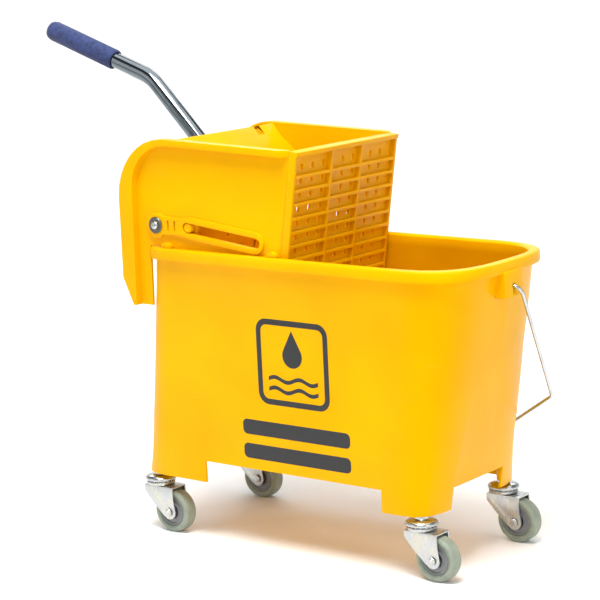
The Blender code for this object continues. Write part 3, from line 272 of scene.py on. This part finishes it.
# ================================================================ castor stems
# Each castor hangs from a zinc-plated stem pressed into the leg's boss. Below the leg, two pressed
# cups hold a ring of steel balls, so the fork turns freely.
def zinc_plated_steel(name, roughness, warm="#C6C6BD", cool="#BAC0C7"):
    """Gives a bright grey metal with a faint warm and cool cast from the passivation, and a fine
    rolled grain that the plating doesn't hide. The grain is about 0.1 mm wide and is drawn at 0.9 mm,
    so it shows."""
    made, tree, shader = new_material(name)
    place = add_node(tree, "TexCoord").outputs["Object"]
    cast = add_node(tree, "TexNoise", {"Vector": place, "Scale": per_metre(9), "Detail": 3.0})
    share = add_node(tree, "MapRange", {"Value": cast.outputs["Fac"], "From Min": 0.35, "From Max": 0.65})
    tint = add_node(tree, "Mix", {0: share.outputs["Result"], 6: linear(warm), 7: linear(cool)},
                    data_type="RGBA")
    rolled = add_node(tree, "Mapping", {"Vector": place, "Scale": (1.0, 1.0, 0.08)})
    grain = add_node(tree, "TexNoise", {"Vector": rolled.outputs["Vector"], "Scale": per_metre(0.9),
                                        "Detail": 4.0})
    rough = add_node(tree, "MapRange", {"Value": grain.outputs["Fac"], "From Min": 0.3, "From Max": 0.7,
                                        "To Min": roughness - 0.07, "To Max": roughness + 0.09})
    relief = add_node(tree, "Bump", {"Height": grain.outputs["Fac"], "Strength": 0.12, "Distance": 0.0002})
    tree.links.new(tint.outputs[2], shader.inputs["Base Color"])
    tree.links.new(rough.outputs["Result"], shader.inputs["Roughness"])
    tree.links.new(relief.outputs["Normal"], shader.inputs["Normal"])
    shader.inputs["Metallic"].default_value = 1.0
    return made


def turned(name, profile, centre, axis, finish, body, nodes=(), sides=64, smooth=40):
    """A piece turned from (radius, along) pairs, bottom to top; radius 0 closes an end."""
    turn = Vector(axis).to_track_quat("Z", "Y").to_matrix()
    bm = bmesh.new()
    rings = []
    for radius, along in profile:
        count = 1 if radius == 0 else sides
        ring = []
        for i in range(count):
            a = math.tau * i / sides
            spot = Vector((radius * math.cos(a), radius * math.sin(a), along))
            ring.append(bm.verts.new(Vector(centre) + turn @ spot))
        rings.append(ring)
    pairs = list(zip(rings, rings[1:]))
    if profile[0][0] > 0:
        pairs.append((rings[-1], rings[0]))
    for lower, upper in pairs:
        for i in range(sides):
            j = (i + 1) % sides
            corners = [lower[i % len(lower)], lower[j % len(lower)], upper[j % len(upper)],
                       upper[i % len(upper)]]
            bm.faces.new(list(dict.fromkeys(corners)))
    bmesh.ops.recalc_face_normals(bm, faces=bm.faces)
    mesh = bpy.data.meshes.new(name)
    bm.to_mesh(mesh)
    bm.free()
    thing = piece(name, mesh, finish)
    mesh.shade_smooth()
    mesh.set_sharp_from_angle(angle=math.radians(smooth))
    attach(thing, body)
    if nodes:
        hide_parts(*nodes)
    return thing


CORNERS = ("front_left", "front_right", "rear_left", "rear_right")
race_zinc = zinc_plated_steel("drawn_zinc_plated_steel", roughness=0.22)
ball_steel = zinc_plated_steel("polished_ball_steel", roughness=0.10)
BALLS, BALL_R, BALL_RING = 18, 0.0010, 0.83
STEM_R, NECK_R = 0.0050, 0.0075

for corner in CORNERS:
    low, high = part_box("castor_stem_" + corner)
    middle = (low + high) / 2
    race_r = (high.x - low.x) / 2
    leg_foot = tub_low.z - 0.0003
    gap_low, gap_high = low.z + 0.0040, low.z + 0.0054
    profile = [(0, low.z), (race_r * 0.74, low.z), (race_r * 0.88, low.z + 0.0006),
               (race_r * 0.92, low.z + 0.0016), (race_r * 0.92, gap_low - 0.0008), (race_r * 0.88, gap_low),
               (race_r * 0.78, gap_low + 0.0002), (race_r * 0.78, gap_high - 0.0002),
               (race_r * 0.93, gap_high), (race_r * 0.985, gap_high + 0.0006), (race_r, gap_high + 0.0017),
               (race_r * 0.985, gap_high + 0.0030), (race_r * 0.93, gap_high + 0.0043),
               (race_r * 0.82, gap_high + 0.0054), (race_r * 0.66, gap_high + 0.0061),
               (race_r * 0.52, gap_high + 0.0064), (NECK_R + 0.0003, gap_high + 0.0070), (NECK_R, leg_foot),
               (STEM_R, leg_foot), (STEM_R, high.z - 0.0008), (STEM_R - 0.0008, high.z), (0, high.z)]
    turned("race_cups_" + corner, profile, (middle.x, middle.y, 0), (0, 0, 1), race_zinc, "bucket",
           nodes=("castor_stem_" + corner,))
    balls = bmesh.new()
    for i in range(BALLS):
        a = math.tau * i / BALLS
        spot = Vector((middle.x + race_r * BALL_RING * math.cos(a),
                       middle.y + race_r * BALL_RING * math.sin(a), (gap_low + gap_high) / 2))
        bmesh.ops.create_icosphere(balls, subdivisions=3, radius=BALL_R, matrix=Matrix.Translation(spot))
    ball_mesh = bpy.data.meshes.new("balls")
    balls.to_mesh(ball_mesh)
    balls.free()
    ball_mesh.shade_smooth()
    ring = piece("race_balls_" + corner, ball_mesh, ball_steel)
    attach(ring, "bucket")


# ================================================================ castor forks and axles
# The fork is one strip of steel, pressed and folded down on both sides of the wheel. The axle is a
# bolt with a domed hexagon head on one side and a nut on the other.
fork_zinc = zinc_plated_steel("pressed_zinc_plated_steel", roughness=0.30)
SHANK_R, HEX_W, HEAD_T, NUT_T = 0.0029, 0.0090, 0.0022, 0.0026


def hexagon(name, centre, axis, across, thick, finish, body):
    """Hexagon head or nut with its corners turned off."""
    bm = bmesh.new()
    turn = Vector(axis).to_track_quat("Z", "Y").to_matrix().to_4x4()
    bmesh.ops.create_cone(bm, cap_ends=True, segments=6, radius1=across / math.sqrt(3),
                          radius2=across / math.sqrt(3), depth=thick)
    bmesh.ops.transform(bm, matrix=Matrix.Translation(centre) @ turn, verts=bm.verts)
    mesh = bpy.data.meshes.new(name)
    bm.to_mesh(mesh)
    bm.free()
    thing = piece(name, mesh, finish)
    rounding = thing.modifiers.new("rounding", "BEVEL")
    rounding.width = 0.0006
    rounding.segments = 3
    settle(thing, 35)
    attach(thing, body)
    return thing


for corner in CORNERS:
    body = "fork_" + corner
    eased("castor_fork_" + corner, "pressed_fork_" + corner, fork_zinc, body, edge=0.0006, smooth=40)
    low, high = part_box("castor_axle_" + corner)
    middle = (low + high) / 2
    shank = [(0, low.y + 0.0006), (SHANK_R - 0.0005, low.y + 0.0006), (SHANK_R, low.y + 0.0012),
             (SHANK_R, high.y - 0.0010), (SHANK_R - 0.0007, high.y - 0.0002), (0, high.y)]
    turned("axle_" + corner, shank, (middle.x, 0, middle.z), (0, 1, 0), race_zinc, body,
           nodes=("castor_axle_" + corner,), sides=32)
    face = (high.y - low.y) / 2 - 0.0036
    hexagon("axle_head_" + corner, (middle.x, middle.y - face - 0.0014, middle.z), (0, -1, 0), HEX_W,
            HEAD_T, race_zinc, body)
    hexagon("axle_nut_" + corner, (middle.x, middle.y + face + 0.0013, middle.z), (0, 1, 0), HEX_W,
            NUT_T, race_zinc, body)


# ================================================================ castor wheels
# The tyre is grey rubber moulded round a grey nylon hub; a black nylon bush in the hub runs on the axle.
def moulded_rubber():
    """Gives a dull grey-green, clouded by dust, with fine pits and a dry surface. The pits are about
    0.4 mm apart and are drawn at 1.3 mm, so they show."""
    made, tree, shader = new_material("moulded_grey_rubber")
    place = add_node(tree, "TexCoord").outputs["Object"]
    dust = add_node(tree, "TexNoise", {"Vector": place, "Scale": per_metre(12), "Detail": 4.0,
                                       "Roughness": 0.6})
    share = add_node(tree, "MapRange", {"Value": dust.outputs["Fac"], "From Min": 0.35, "From Max": 0.70})
    tint = add_node(tree, "Mix", {0: share.outputs["Result"], 6: linear("#7F8A7C"), 7: linear("#98A08F")},
                    data_type="RGBA")
    pits = add_node(tree, "TexVoronoi", {"Vector": place, "Scale": per_metre(1.3)})
    relief = add_node(tree, "Bump", {"Height": pits.outputs["Distance"], "Strength": 0.10,
                                     "Distance": 0.0003})
    rough = add_node(tree, "MapRange", {"Value": dust.outputs["Fac"], "From Min": 0.3, "From Max": 0.7,
                                        "To Min": 0.44, "To Max": 0.62})
    tree.links.new(tint.outputs[2], shader.inputs["Base Color"])
    tree.links.new(rough.outputs["Result"], shader.inputs["Roughness"])
    tree.links.new(relief.outputs["Normal"], shader.inputs["Normal"])
    shader.inputs["IOR"].default_value = 1.52
    return made


def moulded_nylon(name, dark, light, roughness):
    """Gives a smooth, slightly waxy plastic with faint clouding and a fine even skin. The skin's
    texture of about 0.2 mm is drawn at 0.9 mm, so it shows."""
    made, tree, shader = new_material(name)
    place = add_node(tree, "TexCoord").outputs["Object"]
    cloud = add_node(tree, "TexNoise", {"Vector": place, "Scale": per_metre(6), "Detail": 3.0})
    tint = add_node(tree, "Mix", {0: cloud.outputs["Fac"], 6: linear(dark), 7: linear(light)},
                    data_type="RGBA")
    skin = add_node(tree, "TexNoise", {"Vector": place, "Scale": per_metre(0.9), "Detail": 2.0})
    relief = add_node(tree, "Bump", {"Height": skin.outputs["Fac"], "Strength": 0.08, "Distance": 0.0002})
    rough = add_node(tree, "MapRange", {"Value": cloud.outputs["Fac"], "To Min": roughness - 0.06,
                                        "To Max": roughness + 0.08})
    tree.links.new(tint.outputs[2], shader.inputs["Base Color"])
    tree.links.new(rough.outputs["Result"], shader.inputs["Roughness"])
    tree.links.new(relief.outputs["Normal"], shader.inputs["Normal"])
    shader.inputs["IOR"].default_value = 1.53
    return made


rubber = moulded_rubber()
hub_nylon = moulded_nylon("moulded_grey_nylon", "#6B6D6F", "#818385", 0.42)
black_nylon = moulded_nylon("moulded_black_nylon", "#141414", "#232323", 0.40)
RUBBER, SHOULDER = 0.0075, 0.0042

for corner in CORNERS:
    body = "wheel_" + corner
    low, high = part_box("castor_tyre_" + corner)
    middle = (low + high) / 2
    wheel_r, half = (high.z - low.z) / 2, (high.y - low.y) / 2
    hub_r = wheel_r - RUBBER
    round_off = [(wheel_r - SHOULDER + SHOULDER * math.sin(math.radians(a)),
                  half - SHOULDER + SHOULDER * math.cos(math.radians(a))) for a in range(0, 91, 15)]
    tread = [(r, -y) for r, y in round_off]
    seam = [(wheel_r, -0.0006), (wheel_r, 0.0), (wheel_r, 0.0006)]
    profile = [(hub_r, -half + 0.0012), (hub_r + 0.0008, -half + 0.0004), (hub_r + 0.0014, -half + 0.0009),
               (hub_r + 0.0021, -half + 0.0002)] + tread + seam
    profile += list(reversed(round_off)) + [(hub_r + 0.0021, half - 0.0002), (hub_r + 0.0014, half - 0.0009),
                                            (hub_r + 0.0008, half - 0.0004), (hub_r, half - 0.0012)]
    turned("tyre_" + corner, profile, middle, (0, 1, 0), rubber, body,
           nodes=("castor_tyre_" + corner,), sides=96)
    dish = [(0.0088, half - 0.0016), (0.0100, half - 0.0013), (0.0104, half - 0.0020),
            (hub_r - 0.0034, half - 0.0024), (hub_r - 0.0028, half - 0.0012), (hub_r - 0.0010, half - 0.0008),
            (hub_r - 0.0003, half - 0.0014)]
    turned("hub_" + corner, [(r, -y) for r, y in dish] + list(reversed(dish)), middle, (0, 1, 0), hub_nylon,
           body, nodes=("castor_hub_" + corner,), sides=96)
    nose = [(0.0033, half + 0.0002), (0.0062, half + 0.0004), (0.0074, half), (0.0083, half - 0.0008)]
    turned("bush_" + corner, [(r, -y) for r, y in nose] + list(reversed(nose)), middle, (0, 1, 0),
           black_nylon, body, nodes=("castor_bush_" + corner,))


# ================================================================ bail
# The carrying handle is steel wire, bent cold and chromed, hooked into a keyhole at each end of the
# tub. It hangs against the far side; a plastic sleeve is pushed on where the hand goes.
def chromed_steel(name, roughness, clean, hazy):
    """Gives a mirror-bright metal, faintly blue, with a few hazy finger marks and drawn lines. The
    lines are under 0.1 mm apart and are drawn at 1.5 mm, so they show."""
    made, tree, shader = new_material(name)
    place = add_node(tree, "TexCoord").outputs["Object"]
    marks = add_node(tree, "TexNoise", {"Vector": place, "Scale": per_metre(14), "Detail": 4.0})
    haze = add_node(tree, "MapRange", {"Value": marks.outputs["Fac"], "From Min": 0.48, "From Max": 0.75})
    rough = add_node(tree, "Math", {0: haze.outputs["Result"], 1: 0.13, 2: roughness},
                     operation="MULTIPLY_ADD")
    tint = add_node(tree, "Mix", {0: haze.outputs["Result"], 6: linear(clean), 7: linear(hazy)},
                    data_type="RGBA")
    lines = add_node(tree, "TexNoise", {"Vector": place, "Scale": per_metre(1.5), "Detail": 2.0})
    relief = add_node(tree, "Bump", {"Height": lines.outputs["Fac"], "Strength": 0.03, "Distance": 0.0002})
    tree.links.new(tint.outputs[2], shader.inputs["Base Color"])
    tree.links.new(rough.outputs["Value"], shader.inputs["Roughness"])
    tree.links.new(relief.outputs["Normal"], shader.inputs["Normal"])
    shader.inputs["Metallic"].default_value = 1.0
    return made


wire_chrome = chromed_steel("chromed_steel_wire", 0.10, "#C3C7CB", "#AEB1B3")
eased("bail_wire", "bail_loop", wire_chrome, "bail", edge=0.0003, angle=70, smooth=60, flat=0.1)

low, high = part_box("bail_grip")
middle = (low + high) / 2
grip_r, half = (high.z - low.z) / 2, (high.x - low.x) / 2
GROOVES, GROOVE_D, BARE_END, WIRE_HOLE = 12, 0.0008, 0.010, 0.0024
end_round = [(WIRE_HOLE, half), (grip_r - 0.0030, half), (grip_r - 0.0009, half - 0.0009),
             (grip_r, half - 0.0030)]
pitch = 2 * (half - BARE_END) / GROOVES
sleeve = [(r, -x) for r, x in end_round]
for i in range(GROOVES):
    start = BARE_END - half + pitch * i
    sleeve += [(grip_r, start + pitch * 0.30), (grip_r - GROOVE_D, start + pitch * 0.42),
               (grip_r - GROOVE_D, start + pitch * 0.58), (grip_r, start + pitch * 0.70)]
sleeve += list(reversed(end_round))
turned("bail_sleeve", sleeve, middle, (1, 0, 0), black_nylon, "bail", nodes=("bail_grip",))


# ================================================================ wringer frame
# The wringer hooks over the tub's rear wall: two side plates with a raised border, a ribbed grid that
# the mop is squeezed against, a drained floor and a sloping cover, all in the tub's polypropylene.
frame_yellow = moulded_polypropylene("wringer_polypropylene", "#E6A500", "#EDAF00")
for word in ("left", "right"):
    eased("wringer_side_" + word, "side_plate_" + word, frame_yellow, "wringer", edge=0.0008)
eased("front_grid", "pressing_grid", frame_yellow, "wringer", edge=0.0005)
eased("wringer_floor", "drained_floor", frame_yellow, "wringer", edge=0.0005)
eased("rear_cover", "sloping_cover", frame_yellow, "wringer", edge=0.0007)


# ================================================================ pivot
# A zinc-plated shaft runs across the wringer; outside each plate a washer is held by a domed screw.
washer_steel = zinc_plated_steel("oiled_steel_washer", 0.34, "#75776F", "#666C70")
eased("pivot_shaft", "cross_shaft", race_zinc, "wringer", edge=0.0003, smooth=40)
for word, side in (("left", 1), ("right", -1)):
    low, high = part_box("pivot_washer_" + word)
    middle = (low + high) / 2
    washer_r, thick = (high.x - low.x) / 2, high.y - low.y
    rim = [(0.0043, -thick / 2), (washer_r - 0.0003, -thick / 2), (washer_r, -thick / 2 + 0.0003),
           (washer_r, thick / 2 - 0.0006), (washer_r - 0.0006, thick / 2), (0.0046, thick / 2),
           (0.0043, thick / 2 - 0.0003)]
    turned("washer_" + word, rim, middle, (0, side, 0), washer_steel, "wringer",
           nodes=("pivot_washer_" + word,))
    low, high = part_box("pivot_screw_" + word)
    middle = (low + high) / 2
    head_r, reach = (high.x - low.x) / 2, (high.y - low.y) / 2
    under = reach - 0.0030
    dome = [(0, -reach), (0.0024, -reach + 0.0006), (0.0024, under), (head_r - 0.0003, under)]
    dome += [(head_r * math.cos(math.radians(a)), under + 0.0004 + 0.0026 * math.sin(math.radians(a)))
             for a in range(0, 75, 12)]
    dome += [(0.0016, reach - 0.0001), (0.0012, reach - 0.0010), (0, reach - 0.0011)]
    turned("domed_screw_" + word, dome, middle, (0, side, 0), race_zinc, "wringer",
           nodes=("pivot_screw_" + word,), sides=48)


# ================================================================ lever
# The lever is chromed steel tube, bent once, clamped in the yoke's socket. Its end is covered by a
# closed foam-rubber grip, and the yoke's two crank arms work the press plate.
def moulded_foam_rubber():
    """Gives a deep blue, soft and matt, mottled by closed pores. The pores are about half a
    millimetre wide and are drawn at 1.4 mm, so they show."""
    made, tree, shader = new_material("moulded_foam_rubber")
    place = add_node(tree, "TexCoord").outputs["Object"]
    mottle = add_node(tree, "TexNoise", {"Vector": place, "Scale": per_metre(5), "Detail": 5.0,
                                         "Roughness": 0.65})
    share = add_node(tree, "MapRange", {"Value": mottle.outputs["Fac"], "From Min": 0.35, "From Max": 0.68})
    tint = add_node(tree, "Mix", {0: share.outputs["Result"], 6: linear("#16244E"), 7: linear("#2C3D72")},
                    data_type="RGBA")
    pores = add_node(tree, "TexVoronoi", {"Vector": place, "Scale": per_metre(1.4)})
    relief = add_node(tree, "Bump", {"Height": pores.outputs["Distance"], "Strength": 0.35,
                                     "Distance": 0.0005})
    tree.links.new(tint.outputs[2], shader.inputs["Base Color"])
    tree.links.new(relief.outputs["Normal"], shader.inputs["Normal"])
    shader.inputs["Roughness"].default_value = 0.78
    shader.inputs["Sheen Weight"].default_value = 0.15
    return made


# The tube's chrome is given a far darker colour than the wire's. This is painted shade that stands in for the
# dark studio the tube reflects, not a dark plating.
tube_chrome_painted_dark = chromed_steel("chromed_steel_tube_with_painted_shade", 0.06, "#7B8489", "#696F72")
eased("lever_tube", "lever_bar", tube_chrome_painted_dark, "lever", edge=0.0003, angle=60, smooth=50, flat=0.1)
eased("lever_yoke", "lever_socket_and_cranks", frame_yellow, "lever", edge=0.0009)
eased("lever_grip", "foam_grip", moulded_foam_rubber(), "lever", edge=0.0005, angle=50,
      smooth=60, flat=0.1)


# ================================================================ press
# The press plate slides towards the grid on two round pins that run in the side plates' slots.
eased("press_plate", "pressing_plate", frame_yellow, "press", edge=0.0006)
for word, side in (("left", 1), ("right", -1)):
    low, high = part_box("press_pin_" + word)
    middle = (low + high) / 2
    pin_r, reach = (high.x - low.x) / 2, (high.y - low.y) / 2
    stub = [(0, -reach), (pin_r, -reach), (pin_r, reach - 0.0012), (pin_r - 0.0005, reach - 0.0003),
            (pin_r - 0.0014, reach), (pin_r - 0.0024, reach - 0.0006), (0, reach - 0.0006)]
    turned("guide_pin_" + word, stub, middle, (0, side, 0), frame_yellow, "press",
           nodes=("press_pin_" + word,), sides=48)


# ================================================================ studio
# A round bowl of pale paper under broad soft lights, so that it closes the view on every side. The
# camera stands off the front corner, a little above the rim.
paper, paper_tree, paper_shader = new_material("studio_paper")
paper_place = add_node(paper_tree, "TexCoord").outputs["Object"]
fibre = add_node(paper_tree, "TexNoise", {"Vector": paper_place, "Scale": per_metre(160), "Detail": 3.0})
paper_tint = add_node(paper_tree, "Mix", {0: fibre.outputs["Fac"], 6: linear("#F4F4F3"),
                                          7: linear("#FAFAFA")}, data_type="RGBA")
paper_tree.links.new(paper_tint.outputs[2], paper_shader.inputs["Base Color"])
paper_shader.inputs["Roughness"].default_value = 0.9

FLAT, BEND, RISE = 3.4, 1.4, 3.5
TURNS = 96
sweep = [(FLAT, 0.0)]
sweep += [(FLAT + BEND * math.sin(math.radians(a)), BEND - BEND * math.cos(math.radians(a)))
          for a in range(6, 91, 6)]
sweep.append((FLAT + BEND, RISE))
sweep_bm = bmesh.new()
rings = []
for out, height in sweep:
    turns = [math.tau * k / TURNS for k in range(TURNS)]
    rings.append([sweep_bm.verts.new((out * math.cos(a), out * math.sin(a), height)) for a in turns])
sweep_bm.faces.new(rings[0])
for low, high in zip(rings, rings[1:]):
    for k in range(TURNS):
        sweep_bm.faces.new([low[k], high[k], high[k - 1], low[k - 1]])
bmesh.ops.recalc_face_normals(sweep_bm, faces=sweep_bm.faces)
sweep_mesh = bpy.data.meshes.new("sweep")
sweep_bm.to_mesh(sweep_mesh)
sweep_bm.free()
floor = piece("paper_sweep", sweep_mesh, paper)


def soft_light(name, place, target, size, power, colour="#FFFFFF"):
    data = bpy.data.lights.new(name, "AREA")
    data.shape = "RECTANGLE"
    data.size, data.size_y = size
    data.energy = power
    data.color = linear(colour)[:3]
    lamp = bpy.data.objects.new(name, data)
    bpy.context.scene.collection.objects.link(lamp)
    lamp.location = place
    lamp.rotation_euler = (Vector(target) - Vector(place)).to_track_quat("-Z", "Y").to_euler()


soft_light("key", (2.7, -0.6, 1.5), (0, 0, 0.25), (2.0, 2.0), 20, "#FFFAF2")
soft_light("front", (1.3, -2.7, 1.6), (0, 0, 0.25), (2.0, 1.6), 11)
soft_light("fill", (-1.7, -2.3, 1.4), (0, 0, 0.25), (1.8, 1.8), 7)
soft_light("top", (0.1, 0.2, 2.6), (0, 0, 0.2), (2.6, 2.6), 38)
soft_light("tub", (0.4, -0.8, 2.3), (0.05, 0.05, 0.2), (1.0, 1.0), 58)
soft_light("backdrop", (-1.5, 2.0, 1.9), (-1.7, 2.3, 0.0), (2.6, 1.6), 50)
world = bpy.data.worlds.new("studio_air")
world.use_nodes = True
world.node_tree.nodes["Background"].inputs["Color"].default_value = linear("#F4F6FA")
world.node_tree.nodes["Background"].inputs["Strength"].default_value = 0.12
bpy.context.scene.world = world
bpy.context.scene.view_settings.view_transform = "Standard"

AZIMUTH, ELEVATION, ROLL = math.radians(37.01), math.radians(10.63), math.radians(-1.88)
STAND = Vector((1.5003, -1.9572, 0.7290))
back_way = Vector((math.sin(AZIMUTH) * math.cos(ELEVATION), -math.cos(AZIMUTH) * math.cos(ELEVATION),
                   math.sin(ELEVATION)))
level = Vector((math.cos(AZIMUTH), math.sin(AZIMUTH), 0))
upright = back_way.cross(level)
right_way = level * math.cos(ROLL) + upright * math.sin(ROLL)
up_way = upright * math.cos(ROLL) - level * math.sin(ROLL)
lens = bpy.data.cameras.new("camera")
lens.sensor_width, lens.lens = 36.0, 128.9
lens.clip_end = 50.0
camera = bpy.data.objects.new("camera", lens)
bpy.context.scene.collection.objects.link(camera)
turned_to = Matrix((right_way, up_way, back_way)).transposed().to_4x4()
camera.matrix_world = Matrix.Translation(STAND) @ turned_to
bpy.context.scene.camera = camera
